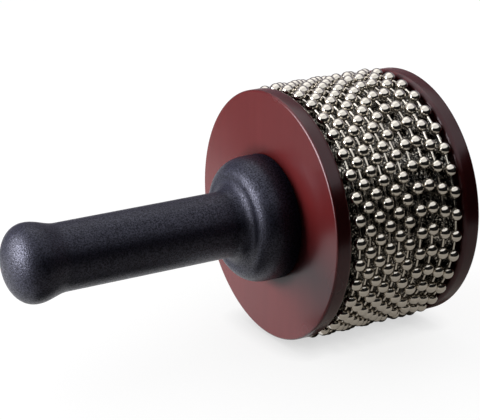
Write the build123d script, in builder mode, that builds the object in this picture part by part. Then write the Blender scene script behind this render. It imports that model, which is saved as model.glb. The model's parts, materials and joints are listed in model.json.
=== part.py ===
from build123d import *
from math import cos, pi, sin, sqrt, tau
import os

# A cabasa lying on its side: a wooden drum with loops of bead chain round it, on a moulded handle.
# Millimetres. The drum's axis runs along X with the handle on the -X side, and +Z is up. The origin is
# under the middle of the whole length, on the surface that the beads rest on.

# Drum
disc_diameter = 108.4
disc_thickness = 8.0
disc_edge = 1.0  # bevel along the outer edge of each disc
drum_length = 72.0  # over both discs
sleeve_thickness = 0.6
sleeve_play = 0.05  # sleeve over core, all round

# Bead chain
bead_diameter = 5.7
bead_pitch = 9.4  # from bead to bead along a loop
link_diameter = 1.5
chain_play = 0.3  # beads over sleeve
bead_proud = 1.2  # the beads stand this far past the discs' rims
near_gap = 1.35  # near disc to the first loop's beads
far_gap = 0.5  # last loop's beads to far disc
nested_loops = 6  # loops beside the near disc, each with its beads in the gaps of the next
nest_pitch = 4.85  # from one nested loop to the next
loose_gap = 0.3  # least room between the beads of the other loops
nested_turn = 1.8  # degrees from the front to the first bead above it
loose_turns = (0.8, 1.4, 8.7, 6.0)  # the same, on the loops that have drifted

# Handle
handle_length = 122.0
boot_diameter = 54.0
boot_height = 17.0  # to where its round shoulder turns into the root of the grip
boot_shoulder = 9.9  # how far the shoulder reaches down the boot's side
boot_root = 5.5
grip_diameter = 28.3
pommel_diameter = 33.3
pommel_dome = 11.0  # from the pommel's widest ring to its end
pommel_flare = 13.0  # from the straight grip to the widest ring
dome_power = 2.2  # 2 is an ellipse, and more is fuller
shoulder_steps = 3  # straight steps that stand for each round of the outline
root_steps = 2
flare_steps = 3
dome_steps = 4

# Hardware
bolt_diameter = 8.0
bolt_play = 0.2
bolt_head_diameter = 14.0
bolt_head_height = 3.6
bolt_key = 5.0
bolt_key_depth = 2.0
bolt_recess = 0.4  # the head lies this far under the far disc's face
washer_diameter = 20.0
washer_thickness = 1.5
washer_play = 0.5
insert_width = 13.0  # across its flats
insert_length = 24.0
bolt_reach = 22.0  # how far the bolt goes into the insert
thread_play = 0.05
pin_diameter = 6.0
pin_play = 0.05
pin_circle = 38.0
pin_in_boot = 10.0
pin_in_core = 10.0
dowel_in_disc = 5.0
pin_end_play = 0.5

# Places along X and radii that follow from these
disc_radius = disc_diameter / 2
near_face = (handle_length - drum_length) / 2
core_start = near_face + disc_thickness
far_face = near_face + drum_length
core_end = far_face - disc_thickness
core_length = core_end - core_start
axis_height = disc_radius + bead_proud
loop_radius = axis_height - bead_diameter / 2
sleeve_radius = loop_radius - bead_diameter / 2 - chain_play
core_radius = sleeve_radius - sleeve_thickness - sleeve_play
head_start = far_face - bolt_recess - bolt_head_height
washer_start = head_start - washer_thickness
bolt_bore = bolt_diameter / 2 + bolt_play
pin_bore = pin_diameter / 2 + pin_play
grip_radius = grip_diameter / 2
shoulder_width = boot_diameter / 2 - boot_root - grip_radius  # the shoulder runs straight into the root
pommel_widest = handle_length - pommel_dome
grip_end = pommel_widest - pommel_flare
beads_per_loop = round(tau * loop_radius / bead_pitch)
bead_step = 360 / beads_per_loop
drum_axis = Axis((0, 0, axis_height), (1, 0, 0))


def across(x):
    """A plane square to the drum's axis, facing +X."""
    return Plane(origin=(x, 0, axis_height), x_dir=(0, 1, 0), z_dir=(1, 0, 0))


def finish(piece, label):
    """Names a finished piece and writes it."""
    piece.part.label = label
    export_step(piece.part, f"parts/{label}.step")


os.makedirs("parts", exist_ok=True)


def swing(steps):
    """Angles that divide a quarter turn evenly."""
    return [pi / 2 * step / steps for step in range(steps + 1)]


def handle_outline():
    """Half the handle's outline as (distance out from the disc, radius), from the boot's base to the pommel."""
    boot_radius = boot_diameter / 2
    pommel_radius = pommel_diameter / 2
    points = [(0, 0), (0, boot_radius)]
    for turn in swing(shoulder_steps):
        out = boot_height - boot_shoulder * (1 - sin(turn))
        points.append((out, boot_radius - shoulder_width * (1 - cos(turn))))
    for turn in swing(root_steps)[1:]:
        out = boot_height + boot_root * (1 - cos(turn))
        points.append((out, grip_radius + boot_root * (1 - sin(turn))))
    for step in range(flare_steps + 1):
        swell = (1 - cos(pi * step / flare_steps)) / 2
        out = grip_end + pommel_flare * step / flare_steps
        points.append((out, grip_radius + (pommel_radius - grip_radius) * swell))
    for turn in swing(dome_steps)[1:-1]:
        out = pommel_widest + pommel_dome * sin(turn) ** (2 / dome_power)
        points.append((out, pommel_radius * cos(turn) ** (2 / dome_power)))
    return points + [(handle_length, 0)]


# Handle: boot, grip and pommel in one moulding, with pockets in its base for the insert and the drive pins
handle_plane = Plane(origin=(near_face, 0, axis_height), x_dir=(-1, 0, 0), z_dir=(0, 1, 0))
with BuildPart() as handle:
    with BuildSketch(handle_plane):
        with BuildLine():
            Polyline(*handle_outline(), close=True)
        make_face()
    revolve(axis=drum_axis)
    with BuildSketch(across(near_face)):
        RegularPolygon(insert_width / 2, 6, major_radius=False)
    extrude(amount=-insert_length, mode=Mode.SUBTRACT)
    with BuildSketch(across(near_face)):
        with PolarLocations(pin_circle / 2, 2):
            Circle(pin_bore)
    extrude(amount=-(pin_in_boot + pin_end_play), mode=Mode.SUBTRACT)
finish(handle, "handle")

# Threaded insert, six-sided so that it can't turn, flush with the boot's base
with BuildPart() as handle_insert:
    with BuildSketch(across(near_face)):
        RegularPolygon(insert_width / 2, 6, major_radius=False)
        Circle(bolt_diameter / 2 + thread_play, mode=Mode.SUBTRACT)
    extrude(amount=-insert_length)
finish(handle_insert, "handle_insert")

# Near disc, with the bolt and both drive pins through it
with BuildPart() as near_disc:
    with BuildSketch(across(near_face)):
        Circle(disc_radius)
        Circle(bolt_bore, mode=Mode.SUBTRACT)
        with PolarLocations(pin_circle / 2, 2):
            Circle(pin_bore, mode=Mode.SUBTRACT)
    extrude(amount=disc_thickness)
    chamfer(near_disc.faces().sort_by(Axis.X)[0].outer_wire().edges(), disc_edge)
finish(near_disc, "near_disc")

# Core, with blind holes for the drive pins at one end and the dowels at the other
with BuildPart() as core:
    with BuildSketch(across(core_start)):
        Circle(core_radius)
        Circle(bolt_bore, mode=Mode.SUBTRACT)
    extrude(amount=core_length)
    for end, depth in ((core_start, pin_in_core), (core_end, -pin_in_core)):
        with BuildSketch(across(end)):
            with PolarLocations(pin_circle / 2, 2):
                Circle(pin_bore)
        extrude(amount=depth, mode=Mode.SUBTRACT)
finish(core, "core")

# Sleeve round the core, from disc to disc
with BuildPart() as sleeve:
    with BuildSketch(across(core_start)):
        Circle(sleeve_radius)
        Circle(sleeve_radius - sleeve_thickness, mode=Mode.SUBTRACT)
    extrude(amount=core_length)
finish(sleeve, "sleeve")

# Far disc, with a counterbore for the bolt's head and blind holes for the dowels
with BuildPart() as far_disc:
    with BuildSketch(across(core_end)):
        Circle(disc_radius)
    extrude(amount=disc_thickness)
    chamfer(far_disc.faces().sort_by(Axis.X)[-1].outer_wire().edges(), disc_edge)
    with Locations(across(far_face)):
        CounterBoreHole(bolt_bore, washer_diameter / 2 + washer_play, far_face - washer_start)
    with BuildSketch(across(core_end)):
        with PolarLocations(pin_circle / 2, 2):
            Circle(pin_bore)
    extrude(amount=dowel_in_disc, mode=Mode.SUBTRACT)
finish(far_disc, "far_disc")

# Washer and through bolt, from the far disc's counterbore into the insert
with BuildPart() as bolt_washer:
    with BuildSketch(across(washer_start)):
        Circle(washer_diameter / 2)
        Circle(bolt_bore, mode=Mode.SUBTRACT)
    extrude(amount=washer_thickness)
finish(bolt_washer, "bolt_washer")

with BuildPart() as through_bolt:
    with BuildSketch(across(head_start)):
        Circle(bolt_head_diameter / 2)
    extrude(amount=bolt_head_height)
    with BuildSketch(across(head_start)):
        Circle(bolt_diameter / 2)
    extrude(amount=-(head_start - near_face + bolt_reach))
    with BuildSketch(across(head_start + bolt_head_height)):
        RegularPolygon(bolt_key / 2, 6, major_radius=False)
    extrude(amount=-bolt_key_depth, mode=Mode.SUBTRACT)
finish(through_bolt, "through_bolt")

# Drive pins from boot to core, and dowels from core to far disc
with BuildPart() as drive_pins:
    with BuildSketch(across(near_face - pin_in_boot)):
        with PolarLocations(pin_circle / 2, 2):
            Circle(pin_diameter / 2)
    extrude(amount=pin_in_boot + disc_thickness + pin_in_core - pin_end_play)
finish(drive_pins, "drive_pins")

with BuildPart() as far_dowels:
    with BuildSketch(across(core_end - pin_in_core + pin_end_play)):
        with PolarLocations(pin_circle / 2, 2):
            Circle(pin_diameter / 2)
    extrude(amount=pin_in_core + dowel_in_disc - 2 * pin_end_play)
finish(far_dowels, "far_dowels")


def chain_loop():
    """One endless loop about the X axis: faceted beads, six-sided round the middle, on three-sided links."""
    bead_radius = bead_diameter / 2
    link_radius = link_diameter / 2
    bead_end = sqrt(bead_radius**2 - link_radius**2)

    def ring(bead, along, radius, sides, first):
        """Corners round a bead's own axis. A corner at angle 0 would point away from the drum."""
        clocks = [first + tau * side / sides for side in range(sides)]
        at_front = [Vector(radius * sin(c), -loop_radius - radius * cos(c), along) for c in clocks]
        return [corner.rotate(Axis.X, bead * bead_step) for corner in at_front]

    outlines = []
    for bead in range(beads_per_loop):
        middle = ring(bead, 0, bead_radius, 6, 0)
        low, high = (ring(bead, along, link_radius, 3, pi / 6) for along in (-bead_end, bead_end))
        next_low = ring(bead - 1, -bead_end, link_radius, 3, pi / 6)
        for side in range(3):
            after = (side + 1) % 3
            for end in (low, high):
                outlines.append((end[side], middle[2 * side], middle[2 * side + 1]))
                outlines.append((end[side], end[after], middle[2 * after], middle[2 * side + 1]))
            outlines.append((high[side], high[after], next_low[after], next_low[side]))
    return Solid(Shell([Face(Wire.make_polygon(corners)) for corners in outlines]))


# Bead loops: one chain, set out along the sleeve and turned as they lie
chain = chain_loop()
first_loop = core_start + near_gap + bead_diameter / 2
last_loop = core_end - far_gap - bead_diameter / 2
last_nested = first_loop + (nested_loops - 1) * nest_pitch
loose_loops = int((last_loop - last_nested) / (bead_diameter + loose_gap))
loose_pitch = (last_loop - last_nested) / max(loose_loops, 1)
for number in range(nested_loops + loose_loops):
    drift = number - nested_loops
    if drift < 0:
        place = first_loop + number * nest_pitch
        turn = nested_turn + number % 2 * bead_step / 2
    else:
        place = last_nested + (drift + 1) * loose_pitch
        turn = loose_turns[drift % len(loose_turns)]
    with BuildPart() as bead_loop:
        with Locations(Location((place, 0, axis_height), (-turn, 0, 0))):
            add(chain)
    finish(bead_loop, f"bead_loop_{number + 1:02d}")
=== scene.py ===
"""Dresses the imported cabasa: moulded handle, lacquered discs, embossed sleeve and polished bead chain."""
import json
import math
import random

import bpy
from mathutils import Matrix, Vector


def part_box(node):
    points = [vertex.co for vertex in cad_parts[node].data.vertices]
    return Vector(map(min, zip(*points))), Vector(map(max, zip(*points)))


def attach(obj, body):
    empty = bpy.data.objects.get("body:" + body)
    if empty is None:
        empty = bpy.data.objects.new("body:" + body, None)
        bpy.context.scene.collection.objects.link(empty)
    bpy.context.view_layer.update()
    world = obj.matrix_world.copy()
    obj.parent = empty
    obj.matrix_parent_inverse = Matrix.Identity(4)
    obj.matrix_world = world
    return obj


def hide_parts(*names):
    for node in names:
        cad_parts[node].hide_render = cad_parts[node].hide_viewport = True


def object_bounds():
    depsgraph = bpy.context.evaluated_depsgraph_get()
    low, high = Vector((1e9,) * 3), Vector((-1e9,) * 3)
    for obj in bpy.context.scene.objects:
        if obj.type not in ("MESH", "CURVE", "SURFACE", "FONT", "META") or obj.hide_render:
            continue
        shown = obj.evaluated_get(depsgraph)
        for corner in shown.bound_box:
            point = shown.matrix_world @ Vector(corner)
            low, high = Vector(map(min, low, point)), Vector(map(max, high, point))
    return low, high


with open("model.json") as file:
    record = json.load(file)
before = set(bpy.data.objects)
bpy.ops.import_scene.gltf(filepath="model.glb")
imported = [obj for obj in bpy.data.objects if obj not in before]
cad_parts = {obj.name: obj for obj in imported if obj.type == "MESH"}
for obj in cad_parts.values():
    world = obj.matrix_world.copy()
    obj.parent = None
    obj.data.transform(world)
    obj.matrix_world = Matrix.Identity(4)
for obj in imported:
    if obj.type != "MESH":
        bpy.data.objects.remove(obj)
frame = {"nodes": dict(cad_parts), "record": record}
cad_low, cad_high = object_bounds()

# Places and sizes read from the frame, in metres
mm = 0.001
near_low, near_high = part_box("near_disc")
far_low, far_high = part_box("far_disc")
handle_low, handle_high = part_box("handle")
sleeve_low, sleeve_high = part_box("sleeve")
axis_height = (near_low.z + near_high.z) / 2
near_face = near_low.x
far_face = far_high.x
sleeve_start = near_high.x
sleeve_end = far_low.x
disc_radius = (near_high.z - near_low.z) / 2
sleeve_radius = (sleeve_high.z - sleeve_low.z) / 2
boot_radius = (handle_high.z - handle_low.z) / 2
handle_length = near_face - handle_low.x
centre = Vector(((cad_low.x + cad_high.x) / 2, 0, axis_height))
loop_nodes = sorted(name for name in frame["nodes"] if name.startswith("bead_loop"))
bodies = frame["record"]["behaviour"]["bodies"]
body_of = {node: body for body, nodes in bodies.items() for node in nodes}

# Sizes of the handle
boot_height = 17.0 * mm
boot_shoulder = 9.9 * mm
boot_root = 5.5 * mm
boot_foot = 0.5 * mm
grip_radius = 14.15 * mm
pommel_radius = 16.65 * mm
pommel_dome = 11.0 * mm
pommel_flare = 13.0 * mm
dome_power = 2.2

# Sizes of the discs and the sleeve
disc_round = 1.1 * mm
disc_inner_round = 2.4 * mm
counterbore_radius = 10.5 * mm
counterbore_depth = 5.5 * mm
counterbore_edge = 0.5 * mm
bore_radius = 4.2 * mm
emboss_pitch = 2.0 * mm
emboss_height = 0.30 * mm

# Sizes of the bead chain, with the link's inset and waist as shares of the bead's and the link's radius
bead_radius = 2.85 * mm
bead_hole = 0.9 * mm
bead_lip = 0.14 * mm
lip_start = 0.3 * bead_lip
lip_end = 3 * bead_lip
link_radius = 0.55 * mm
link_inset = 0.72
link_waist = 0.92
beads_per_loop = 35

# How far a bead may lie out of line, and the seed of the first loop's draws
bead_stray = 0.12 * mm
bead_sink = 0.08 * mm
bead_rise = 0.04 * mm
bead_tilt = 0.08
first_seed = 100

# Fineness of the meshes, in facets round a piece or steps along a curve
turned_segments = 160
foot_steps = 8
boot_steps = 16
pommel_steps = 24
disc_steps = 10
emboss_steps = 5
bead_segments = 24
bead_steps = 16
link_segments = 12
card_steps = 24

# Angles between faces, in degrees, past which an edge is shaded hard
turned_edge = 35
chain_edge = 50
sleeve_edge = 180


def rounded(corners, steps):
    """An outline through (x, radius, round) corners, with each corner rounded by an arc."""
    points = []
    for index, (x, radius, size) in enumerate(corners):
        here = Vector((x, radius))
        if not size:
            points.append(here)
            continue
        before = (Vector(corners[index - 1][:2]) - here).normalized()
        after = (Vector(corners[index + 1][:2]) - here).normalized()
        half = before.angle(after) / 2
        middle = here + (before + after).normalized() * size / math.sin(half)
        start = here + before * size / math.tan(half) - middle
        sweep = start.angle_signed(here + after * size / math.tan(half) - middle)
        points += [middle + Matrix.Rotation(-sweep * step / steps, 2) @ start for step in range(steps + 1)]
    return points


def new_object(name, vertices, faces, sharp=turned_edge):
    """A smooth-shaded mesh object with hard edges where faces meet at a sharp angle."""
    mesh = bpy.data.meshes.new(name)
    mesh.from_pydata([tuple(vertex) for vertex in vertices], [], faces)
    mesh.validate()
    mesh.shade_smooth()
    mesh.set_sharp_from_angle(angle=math.radians(sharp))
    made = bpy.data.objects.new(name, mesh)
    bpy.context.scene.collection.objects.link(made)
    return made


def turn_outline(outline, segments, closed=False):
    """Vertices and faces of an outline turned about X. Points on the axis become poles."""
    vertices, faces, rings = [], [], []
    for x, radius in outline:
        first = len(vertices)
        if radius == 0:
            vertices.append(Vector((x, 0, 0)))
            rings.append([first] * segments)
            continue
        for step in range(segments):
            angle = math.tau * step / segments
            vertices.append(Vector((x, radius * math.cos(angle), radius * math.sin(angle))))
        rings.append(list(range(first, first + segments)))
    pairs = list(zip(rings, rings[1:]))
    if closed:
        pairs.append((rings[-1], rings[0]))
    for one, two in pairs:
        for step in range(segments):
            after = (step + 1) % segments
            corners = [one[step], two[step], two[after], one[after]]
            faces.append([corner for index, corner in enumerate(corners) if corner not in corners[:index]])
    return vertices, faces


def lathe(name, outline, closed=False):
    """A piece turned on the drum's axis."""
    vertices, faces = turn_outline(outline, turned_segments, closed)
    lift = Vector((0, 0, axis_height))
    return new_object(name, [vertex + lift for vertex in vertices], faces)


def dress(piece, material, body, node):
    """Gives a piece its material and body, and hides the CAD node that it stands for."""
    piece.data.materials.append(material)
    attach(piece, body)
    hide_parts(node)


def grey(level):
    """A colour of three equal parts."""
    return (level, level, level)


def feed(tree, socket, value):
    """Links another node's output to a socket, or writes a plain value to it."""
    if isinstance(value, bpy.types.NodeSocket):
        tree.links.new(value, socket)
    else:
        socket.default_value = value


def add_node(tree, kind, inputs, **settings):
    """A new node with its settings and inputs. An input is a plain value or another node's output."""
    node = tree.nodes.new(kind)
    for key, value in settings.items():
        setattr(node, key, value)
    for key, value in inputs.items():
        feed(tree, node.inputs[key], value)
    return node


def open_share(tree, reach):
    """How open the surroundings of a spot are within a reach: 1 in the open, less in a hollow."""
    return add_node(tree, "ShaderNodeAmbientOcclusion", {"Distance": reach}).outputs["AO"]


def combine(tree, operation, one, two):
    """Two numbers combined by a math operation, such as MULTIPLY."""
    return add_node(tree, "ShaderNodeMath", {0: one, 1: two}, operation=operation).outputs[0]


class Nodes:
    """A material's node tree, with short calls to add nodes and link them."""

    def __init__(self, name):
        self.material = bpy.data.materials.new(name)
        self.material.use_nodes = True
        self.tree = self.material.node_tree
        self.shader = self.tree.nodes["Principled BSDF"]
        self.place = add_node(self.tree, "ShaderNodeTexCoord", {}).outputs["Object"]

    def set(self, **values):
        """Feeds the shader's inputs, named with underscores for spaces."""
        for key, value in values.items():
            feed(self.tree, self.shader.inputs[key.replace("_", " ")], value)

    def noise(self, size, detail, stretch=(1, 1, 1), rough=0.5):
        """Noise with features of about this size in metres, drawn out by stretch."""
        scale = [1 / (size * share) for share in stretch]
        mapping = add_node(self.tree, "ShaderNodeMapping", {"Vector": self.place, "Scale": scale})
        inputs = {"Vector": mapping.outputs["Vector"], "Scale": 1.0, "Detail": detail, "Roughness": rough}
        return add_node(self.tree, "ShaderNodeTexNoise", inputs).outputs["Fac"]

    def ramp(self, value, span, first, last):
        """A colour that goes from first to last as a value crosses a span."""
        node = add_node(self.tree, "ShaderNodeValToRGB", {"Fac": value})
        for element, place, colour in zip(node.color_ramp.elements, span, (first, last)):
            element.position = place
            element.color = (*colour, 1)
        return node.outputs["Color"]

    def remap(self, value, span, first, last):
        """A number that goes from first to last as a value crosses a span."""
        inputs = {"Value": value, "From Min": span[0], "From Max": span[1], "To Min": first, "To Max": last}
        return add_node(self.tree, "ShaderNodeMapRange", inputs).outputs["Result"]

    def multiply(self, one, two):
        """One colour multiplied by another."""
        inputs = {0: 1.0, 6: one, 7: two}
        node = add_node(self.tree, "ShaderNodeMix", inputs, data_type="RGBA", blend_type="MULTIPLY")
        return node.outputs[2]

    def bump(self, height, distance, strength, under=None):
        """A normal tilted by a height of this distance in metres, over another bump if there is one."""
        inputs = {"Height": height, "Distance": distance, "Strength": strength}
        if under is not None:
            inputs["Normal"] = under
        return add_node(self.tree, "ShaderNodeBump", inputs).outputs["Normal"]


# The span that most values of a noise lie in
noise_span = (0.3, 0.7)


def moulded_plastic():
    """Black plastic with the sandy grain of a spark-eroded mould, its shine dimmed in its hollows by painted
    shade.
    """
    nodes = Nodes("moulded_plastic")
    grain = nodes.noise(0.60 * mm, detail=1.0, rough=0.6)
    sparkle = nodes.remap(grain, (0.36, 0.66), 0.26, 0.74)
    # Painted shade: the shine is dimmed in hollows, by how open each spot is within 14 mm.
    painted_shine_shade = nodes.remap(open_share(nodes.tree, 14 * mm), (0.62, 0.97), 0.05, 1.0)
    nodes.set(
        Base_Color=nodes.ramp(grain, (0.35, 0.68), (0.004, 0.004, 0.008), (0.026, 0.027, 0.050)),
        Roughness=nodes.remap(grain, noise_span, 0.50, 0.32),
        Normal=nodes.bump(grain, 0.15 * mm, 1.0),
        Specular_IOR_Level=combine(nodes.tree, "MULTIPLY", sparkle, painted_shine_shade),
        Specular_Tint=(0.77, 0.78, 1.0, 1.0),
    )
    return nodes.material


def lacquered_wood():
    """Dark red-brown lacquer over close-grained wood, with hardly any of the grain showing, and painted shade
    in its hollows.
    """
    nodes = Nodes("lacquered_wood")
    streaks = nodes.noise(6.0 * mm, detail=3, stretch=(6, 1, 10))
    pores = nodes.noise(0.5 * mm, detail=2, stretch=(4, 1, 16))
    clouds = nodes.noise(45 * mm, detail=2)
    skin = nodes.noise(2.2 * mm, detail=1)
    hollows = open_share(nodes.tree, 8 * mm)
    hollow_span = (0.40, 0.92)
    colour = nodes.ramp(streaks, (0.30, 0.72), (0.147, 0.0136, 0.0145), (0.163, 0.0157, 0.0167))
    shade = nodes.ramp(clouds, noise_span, grey(0.90), grey(1.0))
    # Painted shade: the lacquer's colour is darkened and its shine dulled in hollows, by how open each spot
    # is within 8 mm.
    painted_hollow_shade = nodes.ramp(hollows, hollow_span, grey(0.22), grey(1.0))
    nodes.set(
        Base_Color=nodes.multiply(nodes.multiply(colour, shade), painted_hollow_shade),
        Roughness=nodes.remap(clouds, noise_span, 0.22, 0.28),
        Normal=nodes.bump(skin, 0.05 * mm, 0.25, nodes.bump(pores, 0.03 * mm, 0.15)),
        IOR=1.52,
        Specular_IOR_Level=nodes.remap(hollows, hollow_span, 0.10, 0.5),
        Specular_Tint=(0.97, 0.92, 1.0, 1.0),
    )
    return nodes.material


def polished_nickel():
    """Nickel plate, polished, with faint hairlines and handling marks."""
    nodes = Nodes("polished_nickel")
    marks = nodes.noise(1.6 * mm, detail=3)
    hairs = nodes.noise(0.35 * mm, detail=2, stretch=(1, 5, 5))
    nodes.set(
        Base_Color=nodes.ramp(marks, noise_span, (0.64, 0.60, 0.54), (0.72, 0.68, 0.62)),
        Metallic=1.0,
        Roughness=nodes.remap(marks, (0.3, 0.75), 0.07, 0.16),
        Normal=nodes.bump(hairs, 0.01 * mm, 0.25),
    )
    return nodes.material


def embossed_steel():
    """Stainless sheet, embossed, coloured near black with bright flecks: painted shade between the beads and
    painted glints.
    """
    nodes = Nodes("embossed_steel")
    glint_flecks = nodes.noise(0.8 * mm, detail=3)
    nodes.set(
        # Painted shade and painted glints: the colour is near black with bright flecks.
        Base_Color=nodes.ramp(glint_flecks, (0.50, 0.64), (0.03, 0.029, 0.027), (0.72, 0.68, 0.62)),
        Metallic=1.0,
        Roughness=nodes.remap(glint_flecks, noise_span, 0.10, 0.24),
        Normal=nodes.bump(glint_flecks, 0.08 * mm, 0.5),
    )
    return nodes.material


def plated_steel():
    """Zinc-plated steel of the bolt, washer and pins, with fine marks."""
    nodes = Nodes("plated_steel")
    marks = nodes.noise(0.3 * mm, detail=2)
    nodes.set(
        Base_Color=nodes.ramp(marks, noise_span, (0.52, 0.53, 0.55), (0.66, 0.67, 0.69)),
        Metallic=1.0,
        Roughness=nodes.remap(marks, noise_span, 0.24, 0.38),
        Normal=nodes.bump(marks, 0.02 * mm, 0.4),
    )
    return nodes.material


def plain_wood():
    """Turned hardwood of the core and its dowels."""
    nodes = Nodes("plain_wood")
    streaks = nodes.noise(2.5 * mm, detail=4, stretch=(10, 1, 3))
    nodes.set(
        Base_Color=nodes.ramp(streaks, noise_span, (0.40, 0.26, 0.14), (0.58, 0.41, 0.25)),
        Roughness=nodes.remap(streaks, noise_span, 0.5, 0.65),
        Normal=nodes.bump(streaks, 0.1 * mm, 0.3),
    )
    return nodes.material


def turned_brass():
    """Brass of the handle's threaded insert."""
    nodes = Nodes("turned_brass")
    marks = nodes.noise(0.6 * mm, detail=2)
    nodes.set(
        Base_Color=nodes.ramp(marks, noise_span, (0.66, 0.48, 0.20), (0.78, 0.60, 0.28)),
        Metallic=1.0,
        Roughness=nodes.remap(marks, noise_span, 0.25, 0.4),
    )
    return nodes.material


def make_handle(material):
    """Boot, straight grip, flare and domed pommel, as one smooth moulding."""
    top = near_face - boot_height
    widest = near_face - handle_length + pommel_dome
    flare_start = widest + pommel_flare
    shoulder_width = boot_radius - boot_root - grip_radius
    quarter = [math.pi / 2 * step / boot_steps for step in range(1, boot_steps + 1)]
    outline = rounded([
        (near_face, 0, 0), (near_face, boot_radius, boot_foot), (top + boot_shoulder, boot_radius, 0),
    ], foot_steps)
    for angle in quarter:
        x = top + boot_shoulder * (1 - math.sin(angle))
        outline.append((x, boot_radius - shoulder_width * (1 - math.cos(angle))))
    for angle in quarter:
        x = top - boot_root * (1 - math.cos(angle))
        outline.append((x, grip_radius + boot_root * (1 - math.sin(angle))))
    outline.append((flare_start, grip_radius))
    for step in range(1, pommel_steps + 1):
        share = step / pommel_steps
        swell = (1 - math.cos(math.pi * share)) / 2
        x = flare_start - pommel_flare * share
        outline.append((x, grip_radius + (pommel_radius - grip_radius) * swell))
    for step in range(1, pommel_steps):
        angle = math.pi / 2 * step / pommel_steps
        x = widest - pommel_dome * math.sin(angle) ** (2 / dome_power)
        outline.append((x, pommel_radius * math.cos(angle) ** (2 / dome_power)))
    outline.append((widest - pommel_dome, 0))
    dress(lathe("moulded_handle", outline), material, "drum", "handle")


def make_discs(material):
    """The two end discs, with their edges rounded over. The far one has the bolt's counterbore."""
    near = rounded([
        (near_face, bore_radius, 0), (near_face, disc_radius, disc_round),
        (sleeve_start, disc_radius, disc_inner_round), (sleeve_start, bore_radius, 0),
    ], disc_steps)
    dress(lathe("near_end_disc", near, closed=True), material, "drum", "near_disc")
    seat = far_face - counterbore_depth
    far = rounded([
        (sleeve_end, bore_radius, 0), (sleeve_end, disc_radius, disc_inner_round),
        (far_face, disc_radius, disc_round), (far_face, counterbore_radius, counterbore_edge),
        (seat, counterbore_radius, 0), (seat, bore_radius, 0),
    ], disc_steps)
    dress(lathe("far_end_disc", far, closed=True), material, "drum", "far_disc")


def make_sleeve(material):
    """The steel sleeve, embossed all over with small round bumps in staggered rows."""
    length = sleeve_end - sleeve_start
    rows = round(length / emboss_pitch * emboss_steps)
    around = 2 * emboss_steps * round(math.pi * sleeve_radius / emboss_pitch)
    vertices, faces = [], []
    for row in range(rows + 1):
        along = length * row / rows
        phase = math.pi * along / emboss_pitch
        for column in range(around):
            turn = math.pi * column / (2 * emboss_steps)
            height = abs(math.sin(phase + turn) * math.sin(phase - turn)) * emboss_height
            angle = math.tau * column / around
            radius = sleeve_radius - emboss_height + height
            vertices.append((
                sleeve_start + along, radius * math.cos(angle), axis_height + radius * math.sin(angle),
            ))
    for row in range(rows):
        one = row * around
        two = one + around
        for column in range(around):
            after = (column + 1) % around
            faces.append((one + column, one + after, two + after, two + column))
    sleeve = new_object("embossed_sleeve", vertices, faces, sharp=sleeve_edge)
    dress(sleeve, material, "drum", "sleeve")


def bead_shape():
    """Vertices and faces of one hollow bead along X, with a rolled hole at each end."""
    hole = math.asin(bead_hole / bead_radius)
    ball = []
    for step in range(bead_steps + 1):
        angle = hole + (math.pi - 2 * hole) * step / bead_steps
        ball.append((-bead_radius * math.cos(angle), bead_radius * math.sin(angle)))
    end = bead_radius * math.cos(hole)
    inside = [(end - lip_start, bead_hole - bead_lip), (end - lip_end, bead_hole - bead_lip)]
    outline = [(-x, radius) for x, radius in reversed(inside)] + ball + inside
    return turn_outline(outline, bead_segments)


def link_shape(gap):
    """Vertices and faces of the link along X between two beads this far apart."""
    start = bead_radius * link_inset
    end = gap - start
    waist = (gap / 2, link_radius * link_waist)
    outline = [(start, 0), (start, link_radius), waist, (end, link_radius), (end, 0)]
    return turn_outline(outline, link_segments)


def add_shape(vertices, faces, shape, spot, along):
    """Adds a shape made along X to a mesh, moved to a spot and turned to point along a direction."""
    shape_vertices, shape_faces = shape
    turn = along.to_track_quat("X", "Z").to_matrix()
    base = len(vertices)
    vertices += [spot + turn @ vertex for vertex in shape_vertices]
    faces += [tuple(base + corner for corner in face) for face in shape_faces]


def make_loop(node, material, seed):
    """A loop of beads and links in the place of its CAD node, each bead a hair out of line."""
    low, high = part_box(node)
    place = (low.x + high.x) / 2
    reaches = [
        (math.hypot(vertex.co.y, vertex.co.z - axis_height), vertex.co)
        for vertex in frame["nodes"][node].data.vertices
    ]
    reach, front = max(reaches, key=lambda pair: pair[0])
    loop_radius = reach - bead_radius
    start = math.atan2(front.z - axis_height, front.y)
    draw = random.Random(seed)
    bead = bead_shape()
    vertices, faces, spots = [], [], []
    for number in range(beads_per_loop):
        slip = draw.uniform(-bead_stray, bead_stray) / loop_radius
        angle = start + math.tau * number / beads_per_loop + slip
        radius = loop_radius + draw.uniform(-bead_sink, bead_rise)
        x = place + draw.uniform(-bead_stray, bead_stray)
        spot = Vector((x, radius * math.cos(angle), axis_height + radius * math.sin(angle)))
        along = Vector((draw.uniform(-bead_tilt, bead_tilt), -math.sin(angle), math.cos(angle)))
        add_shape(vertices, faces, bead, spot, along.normalized())
        spots.append(spot)
    for one, two in zip(spots, spots[1:] + spots[:1]):
        along = two - one
        add_shape(vertices, faces, link_shape(along.length), one, along.normalized())
    chain = new_object(f"chain_{node[-7:]}", vertices, faces, sharp=chain_edge)
    dress(chain, material, body_of[node], node)


def paint(material, *nodes):
    """Gives a material to CAD nodes that stay as they are."""
    for node in nodes:
        mesh = frame["nodes"][node].data
        mesh.materials.clear()
        mesh.materials.append(material)


make_handle(moulded_plastic())
make_discs(lacquered_wood())
make_sleeve(embossed_steel())
nickel = polished_nickel()
for number, node in enumerate(loop_nodes):
    make_loop(node, nickel, first_seed + number)
paint(plain_wood(), "core", "far_dowels")
paint(turned_brass(), "handle_insert")
paint(plated_steel(), "drive_pins", "bolt_washer", "through_bolt")

# Studio: white floor and world, four soft lamps, and cards that only reflections see, in metres and degrees
floor_half = 6.0
floor_colour = grey(0.11)
floor_seen = 0.965
edge_shade = (11 * mm, 0.70)
wide_shade = (120 * mm, 0.84)
world_light = 0.02
world_seen = 1.0
dome_reach = 1.6
flag_reach = 0.17
card_height = 1 * mm


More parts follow.
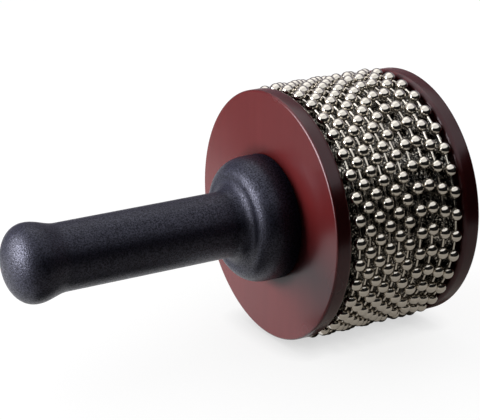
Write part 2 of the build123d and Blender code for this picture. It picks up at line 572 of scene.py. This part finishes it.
def plain_material(name, colour, emission=0.0):
    """A matt material with no shine, which can glow in its own hue."""
    made = bpy.data.materials.new(name)
    made.use_nodes = True
    values = {
        "Base Color": (*colour, 1),
        "Roughness": 1.0,
        "Specular IOR Level": 0.0,
        "Emission Color": (*(part / max(colour) for part in colour), 1),
        "Emission Strength": emission,
    }
    for key, value in values.items():
        made.node_tree.nodes["Principled BSDF"].inputs[key].default_value = value
    return made


def seen_strength(tree, unseen, seen):
    """A strength for rays from the camera or a mirror, and another for all the rest."""
    path = add_node(tree, "ShaderNodeLightPath", {})
    direct = path.outputs["Is Camera Ray"]
    for kind in ("Is Glossy Ray", "Is Transmission Ray"):
        direct = combine(tree, "MAXIMUM", direct, path.outputs[kind])
    inputs = {"Value": direct, "To Min": unseen, "To Max": seen}
    return add_node(tree, "ShaderNodeMapRange", inputs).outputs["Result"]


def contact_shade(tree, strength, reach, darkest):
    """A strength that falls to a part of itself on the floor close under the object."""
    inputs = {"Value": open_share(tree, reach), "To Min": darkest}
    soft = add_node(tree, "ShaderNodeMapRange", inputs).outputs["Result"]
    return combine(tree, "MULTIPLY", strength, soft)


def make_floor():
    """The floor, which glows to the camera and to mirrors and darkens close under the object."""
    corners = ((-1, -1), (1, -1), (1, 1), (-1, 1))
    vertices = [(x * floor_half, y * floor_half, 0) for x, y in corners]
    floor = new_object("floor", vertices, [(0, 1, 2, 3)])
    white = plain_material("floor_white", floor_colour)
    tree = white.node_tree
    strength = seen_strength(tree, 0.0, floor_seen)
    for reach, darkest in (edge_shade, wide_shade):
        strength = contact_shade(tree, strength, reach, darkest)
    feed(tree, tree.nodes["Principled BSDF"].inputs["Emission Strength"], strength)
    floor.data.materials.append(white)
    # The lacquer's painted shade lies in hollows of the object alone, so the floor is left out of its
    # occlusion
    floor.visible_shadow = False


def make_world():
    """A world that is white to the camera and to mirrors and gives hardly any light."""
    world = bpy.data.worlds.new("studio")
    bpy.context.scene.world = world
    world.use_nodes = True
    tree = world.node_tree
    back = tree.nodes["Background"]
    feed(tree, back.inputs["Color"], (1, 1, 1, 1))
    feed(tree, back.inputs["Strength"], seen_strength(tree, world_light, world_seen))


def area_lamp(name, spot, size, power, mirrored=True, lighting=True):
    """A soft lamp aimed at the object. It may be left out of mirrors, or show in mirrors alone."""
    data = bpy.data.lights.new(name, "AREA")
    data.shape = "RECTANGLE"
    data.size, data.size_y = size
    data.energy = power
    lamp = bpy.data.objects.new(name, data)
    lamp.location = spot
    lamp.visible_camera = False
    lamp.visible_glossy = mirrored
    lamp.visible_diffuse = lighting
    lamp.rotation_euler = (centre - Vector(spot)).to_track_quat("-Z", "Y").to_euler()
    bpy.context.scene.collection.objects.link(lamp)


def mirror_card(name, vertices, faces, colour, emission=0.0):
    """A card that shows in mirror reflections and nowhere else."""
    card = new_object(name, vertices, faces)
    card.data.materials.append(plain_material(name, colour, emission))
    card.visible_camera = False
    card.visible_diffuse = False
    card.visible_shadow = False
    card.visible_transmission = False


def bearings(middle, spread):
    """Angles spread evenly to both sides of a bearing."""
    return [math.radians(middle - spread + 2 * spread * step / card_steps) for step in range(card_steps + 1)]


def grid_faces(rows):
    """Faces between rows of card_steps + 1 points."""
    wide = card_steps + 1
    starts = [row * wide + column for row in range(rows - 1) for column in range(card_steps)]
    return [(first, first + 1, first + wide + 1, first + wide) for first in starts]


def dome_card(name, middle, spread, low, high, colour, emission=0.0):
    """Part of a dome round the object, between two heights and spread to both sides of a bearing."""
    vertices = []
    for row in range(card_steps + 1):
        lift = math.radians(low + (high - low) * row / card_steps)
        flat = dome_reach * math.cos(lift)
        for bearing in bearings(middle, spread):
            vertices.append((flat * math.cos(bearing), flat * math.sin(bearing), dome_reach * math.sin(lift)))
    mirror_card(name, vertices, grid_faces(card_steps + 1), colour, emission)


def flag_card(name, middle, spread, low, high, colour):
    """An upright strip round the drum, spread to both sides of a bearing."""
    drum_middle = (sleeve_start + sleeve_end) / 2
    vertices = []
    for height in (low, high):
        for bearing in bearings(middle, spread):
            x = drum_middle + flag_reach * math.cos(bearing)
            vertices.append((x, flag_reach * math.sin(bearing), height))
    mirror_card(name, vertices, grid_faces(2), colour)


def floor_card(name, x_range, y_range, colour, emission=0.0):
    """A sheet just over the floor."""
    (left, right), (front, back) = x_range, y_range
    corners = [(left, front), (right, front), (right, back), (left, back)]
    vertices = [(x, y, card_height) for x, y in corners]
    mirror_card(name, vertices, [(0, 1, 2, 3)], colour, emission)


make_floor()
make_world()
dome_card("dark_front", middle=-121, spread=100, low=-1, high=30, colour=grey(0.02))
flag_card("black_flag", middle=-82, spread=70, low=0.02, high=0.165, colour=grey(0.015))
dome_card("grey_back", middle=59, spread=79, low=-1, high=48, colour=(0.46, 0.43, 0.49), emission=0.22)
floor_card("grey_front", (-0.25, 1.2), (-1.4, -0.03), colour=(0.36, 0.34, 0.31), emission=0.25)
floor_card("grey_left", (-1.4, -0.078), (0.18, 1.4), colour=grey(0.2))
floor_card("shade_under", (0.035, 0.12), (-0.03, 0.05), colour=(0.26, 0.24, 0.21))
floor_card("shade_handle", (-0.10, 0.003), (-0.034, 0.0), colour=(0.10, 0.10, 0.105))
area_lamp("top_softbox", spot=(-0.05, 0.40, 0.85), size=(1.2, 0.9), power=1.8)
area_lamp("left_softbox", spot=(-0.57, 0.16, 0.22), size=(0.5, 0.44), power=7.7, lighting=False)
area_lamp("left_key", spot=(-0.50, 0.31, 0.18), size=(0.3, 0.26), power=4.6, mirrored=False)
area_lamp("right_fill", spot=(0.70, 0.34, 0.22), size=(0.5, 0.4), power=3.0, mirrored=False)

# Camera at the photograph's viewing angle, by a fit with the disc's radius as its unit of length
fit_radius = 54.0 * mm
azimuth = math.radians(-30.92)
elevation = math.radians(19.19)
away = 15.61 * fit_radius
side_shift = -0.2156 * fit_radius
up_shift = 0.0458 * fit_radius
focal_pixels = 1975.0
image_width = 480
sensor_width = 36.0


def make_camera():
    """The camera, placed from the middle of the near disc's face."""
    level = math.cos(elevation)
    back = Vector((math.sin(azimuth) * level, -math.cos(azimuth) * level, math.sin(elevation)))
    right = Vector((math.cos(azimuth), math.sin(azimuth), 0))
    data = bpy.data.cameras.new("camera")
    data.sensor_width = sensor_width
    data.lens = focal_pixels / image_width * sensor_width
    camera = bpy.data.objects.new("camera", data)
    face_middle = Vector((near_face, 0, axis_height))
    camera.location = face_middle + back * away + right * side_shift + back.cross(right) * up_shift
    camera.rotation_euler = (-back).to_track_quat("-Z", "Y").to_euler()
    bpy.context.scene.collection.objects.link(camera)
    bpy.context.scene.camera = camera


make_camera()
bpy.context.scene.view_settings.view_transform = "Standard"
